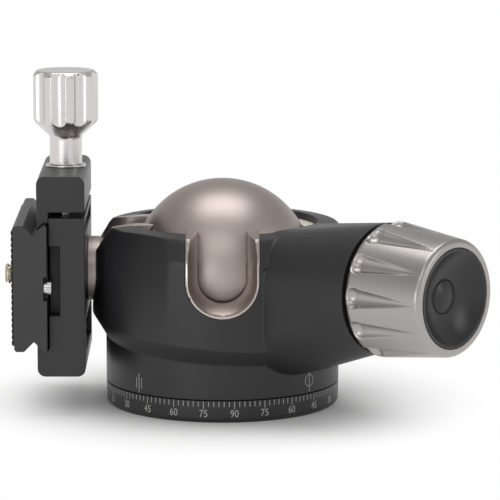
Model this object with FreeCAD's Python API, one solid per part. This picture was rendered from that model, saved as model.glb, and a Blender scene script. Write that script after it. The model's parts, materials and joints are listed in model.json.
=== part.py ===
import FreeCAD, Part
import math
import os

# Low ball head for a tripod: a pan base, a housing with two drop notches, a ball with a flared
# stem, and a screw clamp with a camera plate. Millimetres, +Z up, origin at the mouth of the
# tripod thread in the middle of the underside. The front notch faces -Y. The stem lies in the
# left notch, along -X. Lengths named "reach" are measured from the ball's centre along the stem,
# lengths named "out" from the pan axis along the main knob's axis, and each "rise" or "drop" from
# the height of the ball's centre.

# Ball and stem
ball_radius = 27.5
ball_height = 41.0
ball_gap = 0.3
stem_neck_radius = 7.0
stem_foot_radius = 9.8
stem_flare_start = 28.6
stem_flare_end = 37.6
stem_gap = 0.4
stem_bolt_radius = 3.0
stem_bolt_depth = 13.0
stem_bolt_head_radius = 5.0
stem_bolt_head_height = 5.0
stem_bolt_key_radius = 2.3
stem_bolt_key_depth = 2.5

# Pan base
base_radius = 35.5
base_height = 6.7
base_edge = 1.2
ring_wall = 3.0
post_radius = 20.0
post_drop = 27.0
post_recess_radius = 13.0
post_recess_depth = 4.0
thread_radius = 4.763
thread_insert_radius = 7.5
thread_insert_flange = 10.0
thread_insert_flange_height = 1.5
keeper_radius = 22.5
keeper_height = 1.4
keeper_clearance = 1.0
keeper_screw_radius = 1.5
keeper_screw_head = 2.6
keeper_screw_head_height = 0.9
keeper_screw_length = 6.0
keeper_screw_count = 6
bearing_inner = 22.0
bearing_outer = 31.0
bearing_height = 0.8
bearing_clearance = 0.3
pan_gap = 0.2
running_gap = 0.06
overcut = 1.0

# Housing
skirt_radius = 35.6
band_radius = 39.7
band_low = 25.5
band_slope_height = 7.0
band_tilt = 6.0
band_high_rise = 7.0
rim_radius = 36.2
rim_rise = 12.8
top_outer_radius = 35.0
top_outer_rise = 14.1
top_inner_rise = 15.0
mouth_radius = 29.0
mouth_rise = 5.5
cavity_radius = 28.0
seat_floor_drop = 24.8
facet_turn = -134.0
facet_rise = 2.5
facet_slope = 25.0
neck_root_out = 21.0
neck_root_front = 20.0
neck_root_back = 28.5
neck_root_low = 8.5
neck_root_corner = 14.0
neck_end_out = 64.4
neck_end_radius = 19.2
notch_half_width = 11.0
notch_reach = 60.0
front_notch_rise = 3.0
slit_width = 1.2
slit_length = 5.0
slit_depth = 5.0
slit_turn = 52.0

# Ball seats
collar_rise = 12.6
seat_top_drop = 13.0
seat_inner_radius = 22.9
disc_spring_height = 1.1
disc_spring_thickness = 0.7
disc_spring_inner = 23.2

# Main lock: knob, spindle and brake shoe
knob_turn = -42.7
knob_axis_rise = 1.3
knob_gap = 1.0
knob_root_radius = 20.0
knob_end_radius = 17.3
knob_length = 25.6
knob_root_edge = 1.6
knob_end_edge = 1.2
knob_flutes = 12
flute_root_radius = 3.0
flute_end_radius = 0.9
flute_start = 5.2
flute_stop = 21.0
flute_bulb_radius = 4.2
flute_bulb_place = 3.6
flute_bulb_rise = 2.0
flute_start_rise = 0.9
flute_stop_rise = 0.2
cap_radius = 14.7
cap_depth = 7.0
cap_rim = 0.9
cap_dish_depth = 4.6
cap_boss_radius = 5.0
cap_boss_height = 1.6
cap_groove_width = 0.7
cap_groove_run = 2.4
cap_groove_rise = 0.5
spindle_radius = 5.0
spindle_flange_radius = 7.5
spindle_flange_height = 2.0
spindle_in_knob = 12.0
spindle_tip_gap = 0.3
shoe_radius = 9.0
shoe_start_out = 24.0
shoe_side_gap = 0.4
shoe_back_out = 36.0
shoe_travel = 1.2
shoe_bore_floor = 30.6
bushing_radius = 9.0
bushing_start_out = 45.0

# Pan lock at the back
pan_lock_turn = 90.0
pan_lock_height = 10.9
pan_screw_radius = 2.5
pan_pad_length = 3.0
pan_pad_gap = 0.25
pan_knob_radius = 8.0
pan_knob_out = 39.6
pan_knob_length = 13.0
pan_knob_flutes = 8
pan_flute_radius = 2.2
pan_flute_depth = 0.8
pan_boss_radius = 6.0
pan_boss_out = 38.6
pan_boss_root = 4.0
pan_boss_clearance = 0.5

# Clamp
clamp_clearance = 1.3
clamp_back = 10.9
clamp_lip_depth = 3.5
clamp_half_length = 25.0
clamp_low = -29.0
clamp_split = 19.0
jaw_gap = 1.7
jaw_high = 31.5
clamp_edge = 2.4
clamp_pocket_depth = 1.6
clamp_pocket_margin = 5.0
clamp_pocket_rim = 3.0
clamp_pocket_top = 2.0
stop_recess_half_height = 10.5
stop_recess_depth = 3.3
stop_recess_length = 6.0
guide_pin_radius = 1.5
guide_pin_spread = 15.0
guide_pin_depth = 9.0
guide_pin_cover = 2.0
jaw_screw_radius = 3.0
jaw_screw_depth = 10.0
clamp_axis_inset = 6.6
grip_shaft_radius = 4.9
grip_shaft_height = 8.6
grip_cone_height = 2.6
grip_radius = 9.9
grip_height = 18.0
grip_edge = 2.2
grip_flutes = 9
grip_flute_radius = 2.6
grip_flute_depth = 0.9
grip_flute_margin = 2.6
washer_height = 0.6
washer_rim = 1.2

# Camera plate
plate_centre = -1.7
plate_half_width = 19.0
plate_half_length = 29.0
plate_floor_gap = 0.3
plate_side_gap = 0.15
plate_land = 1.0
plate_groove_depth = 3.0
plate_flange = 2.9
plate_edge = 0.6
camera_screw_radius = 3.175
camera_screw_free = 4.2
camera_screw_neck = 2.5
camera_screw_float = 0.3
camera_screw_head_radius = 7.0
camera_screw_head_height = 2.6
camera_slot_gap = 0.06
camera_recess_gap = 0.3
coin_slot_width = 1.4
coin_slot_depth = 1.2
pad_height = 0.8
pad_rib_height = 0.35
pad_rib_count = 20
pad_margin = 1.6
stop_screw_radius = 2.2
stop_screw_height = 2.4
stop_screw_thread = 1.5
stop_screw_inset = 2.8
stop_screw_depth = 3.0
stop_slot_depth = 1.1
stop_slot_half_width = 3.6

X = FreeCAD.Vector(1, 0, 0)
Y = FreeCAD.Vector(0, 1, 0)
Z = FreeCAD.Vector(0, 0, 1)
ORIGIN = FreeCAD.Vector(0, 0, 0)
BALL_CENTRE = FreeCAD.Vector(0, 0, ball_height)
FAR = 200.0

pan_floor = base_height + bearing_height
post_top = ball_height - post_drop
post_recess_floor = post_top - post_recess_depth
seat_floor = ball_height - seat_floor_drop
seat_top = ball_height - seat_top_drop
facet_low = ball_height + facet_rise
mouth_floor = ball_height + mouth_rise
band_high = ball_height + band_high_rise
collar_top = ball_height + collar_rise
rim_high = ball_height + rim_rise
top_outer_height = ball_height + top_outer_rise
top_inner_height = ball_height + top_inner_rise
knob_axis_height = ball_height + knob_axis_rise
stem_length = band_radius + clamp_clearance
clamp_axis_reach = stem_length + clamp_axis_inset
clamp_floor_reach = stem_length + clamp_back
clamp_face_reach = clamp_floor_reach + clamp_lip_depth
housing_floor_top = post_top - running_gap
plate_low_reach = clamp_floor_reach + plate_floor_gap
plate_high_reach = plate_low_reach + plate_land + 2 * plate_groove_depth + plate_flange
knob_start_out = neck_end_out + knob_gap
grip_base = ball_height + jaw_high + washer_height


def vec(x, y, z):
    return FreeCAD.Vector(x, y, z)


def plate_from(points, thrust):
    """A straight prism over a closed outline of 3-D points."""
    corners = [FreeCAD.Vector(*point) for point in points]
    return Part.Face(Part.makePolygon(corners + corners[:1])).extrude(thrust)


def spun(profile, axis=Z):
    """A full turn of an (along, radius) outline about an axis through the origin."""
    if axis == Z:
        corners = [vec(radius, 0, along) for along, radius in profile]
    else:
        corners = [vec(along, 0, radius) for along, radius in profile]
    return Part.Face(Part.makePolygon(corners + corners[:1])).revolve(ORIGIN, axis, 360)


def rod(radius, start, stop, axis=X):
    """A round bar along an axis through the origin."""
    return Part.makeCylinder(radius, stop - start, axis * start, axis)


def block(low, high):
    """A box between its lowest and highest corners."""
    size = [top - bottom for bottom, top in zip(low, high)]
    return Part.makeBox(size[0], size[1], size[2], vec(*low))


def aimed(shape, turn, height):
    """A shape built along +X, turned about Z and lifted to its axis height."""
    placed = shape.copy()
    placed.rotate(ORIGIN, Z, turn)
    placed.translate(Z * height)
    return placed


def repeated(shape, count, axis=X, start=0.0):
    """Copies of a shape at even turns about an axis through the origin."""
    copies = []
    for index in range(count):
        copy = shape.copy()
        copy.rotate(ORIGIN, axis, start + 360.0 * index / count)
        copies.append(copy)
    return copies


def flare_wire(gap):
    """The stem's outline from the ball to its foot, as edges in the XZ plane along +X."""
    neck = stem_neck_radius + gap
    foot = stem_foot_radius + gap
    middle = stem_flare_start + 0.55 * (stem_flare_end - stem_flare_start)
    dip = neck + 0.3 * (foot - neck)
    curve = Part.Arc(vec(stem_flare_start, 0, neck), vec(middle, 0, dip), vec(stem_flare_end, 0, foot))
    return curve.toShape(), neck, foot


def flared_stem(start, stop, gap):
    """The stem with a gap all round it, turned about its own axis."""
    curve, neck, foot = flare_wire(gap)
    path = [vec(start, 0, 0), vec(start, 0, neck), vec(stem_flare_start, 0, neck)]
    tail = [vec(stem_flare_end, 0, foot), vec(stop, 0, foot), vec(stop, 0, 0), vec(start, 0, 0)]
    wire = Part.Wire([Part.makePolygon(path), curve, Part.makePolygon(tail)])
    return Part.Face(wire).revolve(ORIGIN, X, 360)


def chute_void(gap, rise):
    """What the stem sweeps as it swings up from the bottom of its notch, with a gap."""
    curve, neck, foot = flare_wire(gap)
    half = Part.Wire([
        Part.makePolygon([vec(stem_flare_start, 0, 0), vec(stem_flare_start, 0, neck)]),
        curve,
        Part.makePolygon([vec(stem_flare_end, 0, foot), vec(notch_reach, 0, foot), vec(notch_reach, 0, 0),
                          vec(stem_flare_start, 0, 0)]),
    ])
    side = Part.Face(half)
    side.rotate(ORIGIN, X, -90)
    sweep = side.revolve(ORIGIN, Y, -90)
    throat = block((0, 0, 0), (stem_flare_start, neck, stem_flare_start))
    sweep = sweep.fuse(throat)
    other = sweep.mirror(ORIGIN, Y)
    void = sweep.fuse([other, flared_stem(0, notch_reach, gap)])
    void.rotate(ORIGIN, Y, -rise)
    return void


def notch_cut(rise):
    """The straight U that is milled through the wall, open at the top."""
    floor = rod(notch_half_width, 0, notch_reach)
    shaft = block((0, -notch_half_width, 0), (notch_reach, notch_half_width, FAR))
    cut = floor.fuse(shaft)
    cut.rotate(ORIGIN, Y, -rise)
    return cut


def housing_outside():
    """The housing before anything is cut out of it."""
    foot = base_height + pan_gap
    column = spun([(foot, 0), (foot, skirt_radius), (rim_high, skirt_radius), (rim_high, 0)])
    cone = spun([(band_low - band_slope_height, 0), (band_low - band_slope_height, skirt_radius - 0.6),
                 (band_low, band_radius + 0.2), (band_low, 2 * band_radius), (FAR, 2 * band_radius), (FAR, 0)])
    turned = FreeCAD.Vector(math.cos(math.radians(knob_turn)), math.sin(math.radians(knob_turn)), 0)
    cone.rotate(vec(0, 0, band_low), Z.cross(turned), band_tilt)
    band = spun([(pan_floor, 0), (pan_floor, band_radius), (band_high, band_radius), (rim_high, rim_radius),
                 (top_outer_height, top_outer_radius), (top_inner_height, mouth_radius - 2.0),
                 (top_inner_height, 0)])
    band = band.common(cone)
    outside = column.fuse([band, neck()])
    return outside.cut(facet_cut()).removeSplitter()


def facet_cut():
    """A wedge that flattens the upper wall between the two notches."""
    tool = block((0, -FAR, 0), (FAR, FAR, FAR))
    tool.rotate(ORIGIN, Y, -facet_slope)
    tool.translate(vec(band_radius, 0, facet_low))
    tool.rotate(ORIGIN, Z, facet_turn)
    return tool


def neck_section(out, front, back, low, high, corner):
    """A rounded rectangle across the main knob's axis, as eight edges."""
    edges = []
    turns = [(back - corner, high - corner, 0), (-front + corner, high - corner, 90),
             (-front + corner, low + corner, 180), (back - corner, low + corner, 270)]
    for index, (across, height, turn) in enumerate(turns):
        points = []
        for step in (0, 45, 90):
            angle = math.radians(turn + step)
            points.append(vec(out, across + corner * math.cos(angle), height + corner * math.sin(angle)))
        edges.append(Part.Arc(points[0], points[1], points[2]).toShape())
        ahead = turns[(index + 1) % 4]
        angle = math.radians(ahead[2])
        start = vec(out, ahead[0] + corner * math.cos(angle), ahead[1] + corner * math.sin(angle))
        edges.append(Part.makeLine(points[2], start))
    return Part.Wire(edges)


def neck():
    """The boss that carries the main knob: square-shouldered at the body, round at the knob."""
    flat = 0.4
    root = neck_section(neck_root_out, neck_root_front, neck_root_back, neck_root_low - knob_axis_height,
                        top_outer_height - knob_axis_height, neck_root_corner)
    end = neck_section(neck_end_out, neck_end_radius, neck_end_radius, -neck_end_radius, neck_end_radius,
                       neck_end_radius - flat)
    return aimed(Part.makeLoft([root, end], True, True), knob_turn, knob_axis_height)


def make_housing(outside):
    body = outside.cut(rod(cavity_radius, seat_floor, FAR, Z))
    body = body.cut(rod(mouth_radius, mouth_floor, FAR, Z))
    body = body.cut(rod(keeper_radius + keeper_clearance, housing_floor_top, seat_floor + overcut, Z))
    body = body.cut(rod(post_radius + running_gap, 0, FAR, Z))
    body = body.cut(rod(bearing_outer + bearing_clearance, 0, pan_floor, Z))
    body = body.cut(aimed(notch_cut(front_notch_rise), -90, ball_height))
    body = body.cut(aimed(notch_cut(0), 180, ball_height))
    shoe_bore = rod(shoe_radius + running_gap, shoe_start_out, bushing_start_out)
    body = body.cut(aimed(shoe_bore, knob_turn, knob_axis_height))
    body = body.cut(aimed(rod(bushing_radius, bushing_start_out, FAR), knob_turn, knob_axis_height))
    boss = rod(pan_boss_radius, skirt_radius - pan_boss_root, pan_boss_out)
    boss = aimed(boss, pan_lock_turn, pan_lock_height)
    boss = boss.cut(rod(base_radius + pan_boss_clearance, 0, base_height + pan_gap, Z))
    screw_hole = aimed(rod(pan_screw_radius + running_gap, post_radius, FAR), pan_lock_turn, pan_lock_height)
    body = body.fuse(boss).cut(screw_hole)
    slit = block((cavity_radius, -slit_width / 2, top_inner_height - slit_depth),
                 (mouth_radius + slit_length, slit_width / 2, FAR))
    return body.cut(aimed(slit, slit_turn, 0)).removeSplitter()


def make_notch_liner(outside, turn, rise):
    """A U of bare metal that lines a notch, flush with the wall, shaped to the stem's sweep."""
    frame = aimed(notch_cut(rise), turn, ball_height)
    frame = frame.common(outside).cut(rod(cavity_radius, 0, mouth_floor, Z))
    frame = frame.cut(Part.makeSphere(ball_radius + ball_gap, BALL_CENTRE))
    frame = frame.cut(aimed(chute_void(stem_gap, rise), turn, ball_height))
    return frame


def collar_arcs():
    """The upper seat, parted by the notches: what stands between them, and the rest."""
    ring = rod(mouth_radius, mouth_floor, collar_top, Z)
    ring = ring.cut(Part.makeSphere(ball_radius + ball_gap, BALL_CENTRE))
    ring = ring.cut(aimed(notch_cut(front_notch_rise), -90, ball_height))
    ring = ring.cut(aimed(notch_cut(0), 180, ball_height))
    ring = ring.cut(aimed(rod(shoe_radius + shoe_side_gap, 0, FAR), knob_turn, knob_axis_height))
    front = [arc for arc in ring.Solids if arc.CenterOfMass.x < 0 and arc.CenterOfMass.y < 0]
    back = [arc for arc in ring.Solids if arc.CenterOfMass.x >= 0 or arc.CenterOfMass.y >= 0]
    return Part.makeCompound(front), Part.makeCompound(back)


def make_lower_seat():
    low = seat_floor + disc_spring_height
    ring = rod(cavity_radius, low, seat_top, Z).cut(rod(seat_inner_radius, 0, FAR, Z))
    return ring.cut(Part.makeSphere(ball_radius + ball_gap, BALL_CENTRE))


def make_disc_spring():
    rise = disc_spring_height - disc_spring_thickness
    outer = cavity_radius - shoe_side_gap
    return spun([(seat_floor, outer), (seat_floor + disc_spring_thickness, outer),
                 (seat_floor + disc_spring_height, disc_spring_inner),
                 (seat_floor + rise, disc_spring_inner)])


def make_base_plate():
    plate = spun([(0, 0), (0, base_radius - ring_wall), (base_height, base_radius - ring_wall),
                  (base_height, post_radius), (post_top, post_radius), (post_top, post_recess_radius),
                  (post_recess_floor, post_recess_radius), (post_recess_floor, 0)])
    plate = plate.cut(rod(thread_insert_radius, 0, FAR, Z))
    plate = plate.cut(rod(thread_insert_flange, 0, thread_insert_flange_height, Z))
    for screw in keeper_screw_spots(keeper_screw_radius, post_top - keeper_screw_length, post_top):
        plate = plate.cut(screw)
    return plate


def keeper_screw_spots(radius, low, high):
    place = (post_radius + post_recess_radius) / 2
    spot = Part.makeCylinder(radius, high - low, vec(place, 0, low), Z)
    return repeated(spot, keeper_screw_count, Z)


def make_scale_ring():
    return spun([(0, base_radius - ring_wall), (0, base_radius - base_edge), (base_edge, base_radius),
                 (base_height, base_radius), (base_height, base_radius - ring_wall)])


def make_thread_insert():
    bush = rod(thread_insert_radius, 0, post_recess_floor, Z)
    bush = bush.fuse(rod(thread_insert_flange, 0, thread_insert_flange_height, Z))
    return bush.cut(rod(thread_radius, 0, FAR, Z)).removeSplitter()


def make_keeper_ring():
    ring = rod(keeper_radius, post_top, post_top + keeper_height, Z).cut(rod(post_recess_radius, 0, FAR, Z))
    for hole in keeper_screw_spots(keeper_screw_radius, post_top, post_top + keeper_height):
        ring = ring.cut(hole)
    sink = post_top + keeper_height - keeper_screw_head_height
    for hole in keeper_screw_spots(keeper_screw_head, sink, post_top + keeper_height):
        ring = ring.cut(hole)
    return ring


def make_keeper_screws():
    top = post_top + keeper_height
    sink = top - keeper_screw_head_height
    shanks = keeper_screw_spots(keeper_screw_radius, post_top - keeper_screw_length, sink)
    heads = keeper_screw_spots(keeper_screw_head, sink, top)
    return Part.makeCompound([head.fuse(shank).removeSplitter() for head, shank in zip(heads, shanks)])


def make_pan_bearing():
    return rod(bearing_outer, base_height, pan_floor, Z).cut(rod(bearing_inner, 0, FAR, Z))


def make_ball():
    ball = Part.makeSphere(ball_radius).fuse(flared_stem(0, stem_length, 0))
    ball = ball.cut(rod(stem_bolt_radius, stem_length - stem_bolt_depth, FAR))
    return aimed(ball.removeSplitter(), 180, ball_height)


def make_stem_bolt():
    seat = clamp_floor_reach - stem_bolt_head_height
    bolt = rod(stem_bolt_radius, stem_length - stem_bolt_depth, seat)
    bolt = bolt.fuse(rod(stem_bolt_head_radius, seat, clamp_floor_reach))
    key = Part.makePolygon([vec(FAR, stem_bolt_key_radius * math.cos(math.radians(60 * step)),
                                stem_bolt_key_radius * math.sin(math.radians(60 * step))) for step in range(7)])
    socket = Part.Face(key).extrude(X * (clamp_floor_reach - stem_bolt_key_depth - FAR))
    return aimed(bolt.cut(socket).removeSplitter(), 180, ball_height)


def make_main_knob():
    """A tapered grip with flutes that start in a round scoop and run out towards the end."""
    end = knob_length
    taper = (knob_root_radius - knob_end_radius) / knob_length
    grip = spun([(0, 0), (0, knob_root_radius - knob_root_edge), (knob_root_edge * 0.5, knob_root_radius - 0.4),
                 (knob_root_edge * 1.4, knob_root_radius), (end - knob_end_edge, knob_end_radius + taper),
                 (end - 0.3, knob_end_radius - 0.5), (end, knob_end_radius - knob_end_edge), (end, 0)], X)
    start_radius = knob_root_radius - taper * flute_start
    stop_radius = knob_root_radius - taper * flute_stop
    reach = flute_stop - flute_start
    fall = start_radius + flute_start_rise - stop_radius - flute_stop_rise
    lean = math.degrees(math.atan2(fall, reach))
    cutter = Part.makeCone(flute_root_radius, flute_end_radius, reach, vec(0, 0, 0), X)
    cutter.rotate(ORIGIN, Y, lean)
    cutter.translate(vec(flute_start, 0, start_radius + flute_start_rise))
    bulb = Part.makeSphere(flute_bulb_radius, vec(flute_bulb_place, 0, knob_root_radius + flute_bulb_rise))
    for scoop in repeated(cutter, knob_flutes) + repeated(bulb, knob_flutes):
        grip = grip.cut(scoop)
    grip = grip.cut(rod(cap_radius, end - cap_depth, FAR))
    grip = grip.cut(rod(spindle_radius, -overcut, spindle_in_knob))
    grip.translate(X * knob_start_out)
    return aimed(grip.removeSplitter(), knob_turn, knob_axis_height)


def make_knob_cap():
    """A dished cap with a low round button in its middle."""
    end = knob_length
    low = end - cap_depth
    dish = end - cap_dish_depth
    cap = spun([(low, 0), (low, cap_radius), (end - cap_rim / 4, cap_radius), (end, cap_radius - cap_rim),
                (dish + cap_groove_rise, cap_boss_radius + cap_groove_run),
                (dish, cap_boss_radius + cap_groove_width), (dish, 0)], X)
    dome = cap_boss_radius ** 2 / (2 * cap_boss_height) + cap_boss_height / 2
    button = Part.makeSphere(dome, vec(dish + cap_boss_height - dome, 0, 0))
    button = button.common(rod(cap_boss_radius, dish - cap_groove_rise, FAR))
    cap = cap.fuse(button).removeSplitter()
    cap.translate(X * knob_start_out)
    return aimed(cap, knob_turn, knob_axis_height)


def make_spindle():
    tip = shoe_bore_floor + shoe_travel + spindle_tip_gap
    bar = rod(spindle_radius - running_gap, tip, bushing_start_out)
    bar = bar.fuse(rod(spindle_radius, bushing_start_out, knob_start_out + spindle_in_knob))
    flange = bushing_start_out - running_gap
    bar = bar.fuse(rod(spindle_flange_radius, flange - spindle_flange_height, flange))
    return aimed(bar.removeSplitter(), knob_turn, knob_axis_height)


def make_bushing():
    tube = rod(bushing_radius, bushing_start_out, neck_end_out + knob_gap / 2)
    tube = tube.cut(rod(spindle_radius + running_gap, 0, FAR))
    return aimed(tube, knob_turn, knob_axis_height)


def make_brake_shoe():
    shoe = aimed(rod(shoe_radius, shoe_start_out, shoe_back_out), knob_turn, knob_axis_height)
    shoe = shoe.cut(Part.makeSphere(ball_radius + ball_gap, BALL_CENTRE))
    return shoe.cut(aimed(rod(spindle_radius, shoe_bore_floor, FAR), knob_turn, knob_axis_height))


def grip_with_flutes(profile, flutes, flute_radius, depth, radius, start, stop):
    """A turned grip with straight scooped flutes that stop short of both ends."""
    grip = spun(profile, X)
    place = radius - depth + flute_radius
    scoop = Part.makeCylinder(flute_radius, stop - start, vec(start, 0, place), X)
    for cutter in repeated(scoop, flutes, X, 180.0 / flutes):
        grip = grip.cut(cutter)
    return grip


def make_pan_knob():
    end = pan_knob_length
    edge = 1.2
    profile = [(0, 0), (0, pan_boss_radius - 0.6), (edge, pan_boss_radius - 0.6), (2 * edge, pan_knob_radius),
               (end - edge, pan_knob_radius), (end, pan_knob_radius - edge), (end, 0)]
    grip = grip_with_flutes(profile, pan_knob_flutes, pan_flute_radius, pan_flute_depth, pan_knob_radius,
                            3 * edge, end - 2 * edge)
    grip = grip.cut(rod(pan_screw_radius, -overcut, end / 2))
    grip.translate(X * pan_knob_out)
    return aimed(grip, pan_lock_turn, pan_lock_height)


def make_pan_screw():
    start = post_radius + pan_pad_gap + pan_pad_length
    screw = rod(pan_screw_radius, start, pan_knob_out + pan_knob_length / 2)
    return aimed(screw, pan_lock_turn, pan_lock_height)


def make_pan_pad():
    start = post_radius + pan_pad_gap
    pad = rod(pan_screw_radius, start, start + pan_pad_length)
    return aimed(pad, pan_lock_turn, pan_lock_height)


def clamp_side(half, gap):
    """How far from the plate's middle the jaw's lip stands, at the floor and at its face."""
    root = half + gap
    land = plate_low_reach + plate_land
    return root, land, root - (clamp_face_reach - land)


def lift(reach, y, height):
    """A point given by its reach along the stem, y, and height above the ball's centre."""
    return vec(-reach, y, ball_height + height)


def clamp_prism(outline, half_length):
    """A prism along Y over an outline of (reach, height) points."""
    points = [lift(reach, -half_length, height) for reach, height in outline]
    return plate_from(points, Y * (2 * half_length))


def edges_along_y(shape, reach, heights):
    """The long edges of a clamp piece at a reach and any of the heights."""
    found = []
    near = 0.01
    for edge in shape.Edges:
        low = edge.BoundBox
        long = low.YLength > clamp_half_length and low.XLength < near and low.ZLength < near
        placed = abs(-low.XMin - reach) < near
        level = min(abs(low.ZMin - ball_height - height) for height in heights) < near
        if long and placed and level:
            found.append(edge)
    return found


def make_clamp_body():
    root, land, lip = clamp_side(plate_half_width, plate_side_gap)
    body = clamp_prism([(stem_length, clamp_low), (clamp_face_reach, clamp_low),
                        (clamp_face_reach, plate_centre - lip), (land, plate_centre - root),
                        (clamp_floor_reach, plate_centre - root), (clamp_floor_reach, clamp_split),
                        (stem_length, clamp_split)], clamp_half_length)
    rounded = edges_along_y(body, stem_length, [clamp_low]) + edges_along_y(body, clamp_face_reach, [clamp_low])
    body = body.makeFillet(clamp_edge, rounded)
    low = ball_height - stop_recess_half_height
    high = ball_height + stop_recess_half_height
    for side in (-1, 1):
        inner = side * (clamp_half_length - stop_recess_length)
        outer = side * (clamp_half_length + overcut)
        body = body.cut(block((-clamp_floor_reach - overcut, min(inner, outer), low),
                              (-clamp_floor_reach + stop_recess_depth, max(inner, outer), high)))
    width = clamp_half_length - clamp_pocket_margin
    gap = stem_foot_radius + clamp_pocket_rim
    for low, high in ((clamp_low + clamp_pocket_margin, -gap), (gap, clamp_split - clamp_pocket_top)):
        body = body.cut(block((-stem_length - clamp_pocket_depth, -width, ball_height + low),
                              (-stem_length + overcut, width, ball_height + high)))
    bolt = rod(stem_bolt_radius + running_gap, 0, FAR)
    seat = clamp_floor_reach - stem_bolt_head_height
    bolt = bolt.fuse(rod(stem_bolt_head_radius + running_gap, seat, FAR))
    body = body.cut(aimed(bolt, 180, ball_height))
    top = ball_height + clamp_split
    body = body.cut(Part.makeCylinder(jaw_screw_radius + running_gap, jaw_screw_depth + overcut,
                                      vec(-clamp_axis_reach, 0, top - jaw_screw_depth), Z))
    for y in (-guide_pin_spread, guide_pin_spread):
        body = body.cut(Part.makeCylinder(guide_pin_radius, guide_pin_depth + overcut,
                                          vec(-clamp_axis_reach, y, top - guide_pin_depth), Z))
    return body


def make_guide_pins():
    low = ball_height + clamp_split - guide_pin_depth
    high = ball_height + jaw_high - guide_pin_cover
    pins = [Part.makeCylinder(guide_pin_radius, high - low, vec(-clamp_axis_reach, y, low), Z)
            for y in (-guide_pin_spread, guide_pin_spread)]
    return Part.makeCompound(pins)


def make_jaw():
    root, land, lip = clamp_side(plate_half_width, plate_side_gap)
    low = clamp_split + jaw_gap
    jaw = clamp_prism([(stem_length, low), (clamp_floor_reach, low), (clamp_floor_reach, plate_centre + root),
                       (land, plate_centre + root), (clamp_face_reach, plate_centre + lip),
                       (clamp_face_reach, jaw_high), (stem_length, jaw_high)], clamp_half_length)
    rounded = edges_along_y(jaw, stem_length, [jaw_high]) + edges_along_y(jaw, clamp_face_reach, [jaw_high])
    jaw = jaw.makeFillet(clamp_edge, rounded)
    base = ball_height + low - overcut
    jaw = jaw.cut(Part.makeCylinder(jaw_screw_radius + running_gap, FAR, vec(-clamp_axis_reach, 0, base), Z))
    for y in (-guide_pin_spread, guide_pin_spread):
        depth = jaw_high - guide_pin_cover / 2 - low
        hole = Part.makeCylinder(guide_pin_radius + running_gap, depth, vec(-clamp_axis_reach, y, base), Z)
        jaw = jaw.cut(hole)
    return jaw


def make_grip_washer():
    foot = vec(-clamp_axis_reach, 0, grip_base - washer_height)
    ring = Part.makeCylinder(grip_shaft_radius + washer_rim, washer_height, foot)
    return ring.cut(Part.makeCylinder(jaw_screw_radius, FAR, vec(-clamp_axis_reach, 0, 0)))


def upright(shape, base):
    """A shape built along +X, stood on the clamp knob's axis."""
    placed = shape.copy()
    placed.rotate(ORIGIN, Y, -90)
    placed.translate(vec(-clamp_axis_reach, 0, base))
    return placed


def make_clamp_knob():
    start = grip_shaft_height + grip_cone_height
    end = start + grip_height
    profile = [(0, 0), (0, grip_shaft_radius), (grip_shaft_height, grip_shaft_radius),
               (start, grip_radius - grip_edge), (start + grip_edge, grip_radius),
               (end - grip_edge * 1.2, grip_radius), (end - 0.5, grip_radius - grip_edge * 0.8),
               (end, grip_radius - grip_edge * 1.1), (end, 0)]
    grip = grip_with_flutes(profile, grip_flutes, grip_flute_radius, grip_flute_depth, grip_radius,
                            start + grip_flute_margin, end - grip_flute_margin * 1.2)
    return upright(grip.cut(rod(jaw_screw_radius, -overcut, grip_shaft_height)), grip_base)


def make_jaw_screw():
    low = ball_height + clamp_split - jaw_screw_depth + overcut
    length = grip_base + grip_shaft_height - low
    return Part.makeCylinder(jaw_screw_radius, length, vec(-clamp_axis_reach, 0, low), Z)


def make_camera_plate():
    half = plate_half_width
    neck_half = half - plate_groove_depth
    low = plate_low_reach
    land = low + plate_land
    valley = land + plate_groove_depth
    flange = valley + plate_groove_depth
    high = plate_high_reach
    upper = [(low, half - plate_edge), (low + plate_edge, half), (land, half), (valley, neck_half),
             (flange, half), (high - plate_edge, half), (high, half - plate_edge)]
    outline = [(reach, plate_centre + height) for reach, height in upper]
    outline += [(reach, plate_centre - height) for reach, height in reversed(upper)]
    plate = clamp_prism(outline, plate_half_length)
    recess = camera_screw_head_radius + camera_recess_gap
    sink = low + camera_screw_head_height + 2 * camera_screw_float
    hole = rod(recess, 0, sink).fuse(rod(camera_screw_radius + camera_slot_gap, 0, FAR))
    plate = plate.cut(aimed(hole, 180, ball_height + plate_centre))
    for spot in stop_screw_spots(stop_screw_thread, low - overcut, low + stop_screw_depth):
        plate = plate.cut(spot)
    middle = ball_height + plate_centre
    for side in (-1, 1):
        far = side * (plate_half_length + overcut)
        near = side * (plate_half_length - 2 * stop_screw_inset)
        plate = plate.cut(block((-low - stop_slot_depth, min(far, near), middle - stop_slot_half_width),
                                (-low + overcut, max(far, near), middle + stop_slot_half_width)))
    return plate


def stop_screw_spots(radius, low, high):
    places = (-plate_half_length + stop_screw_inset, plate_half_length - stop_screw_inset)
    return [Part.makeCylinder(radius, high - low, lift(high, y, plate_centre), X) for y in places]


def make_stop_screws():
    low = plate_low_reach + stop_slot_depth
    shanks = stop_screw_spots(stop_screw_thread, low - stop_screw_height, plate_low_reach + stop_screw_depth)
    heads = stop_screw_spots(stop_screw_radius, low - stop_screw_height, low)
    return Part.makeCompound([head.fuse(shank).removeSplitter() for head, shank in zip(heads, shanks)])


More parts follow.
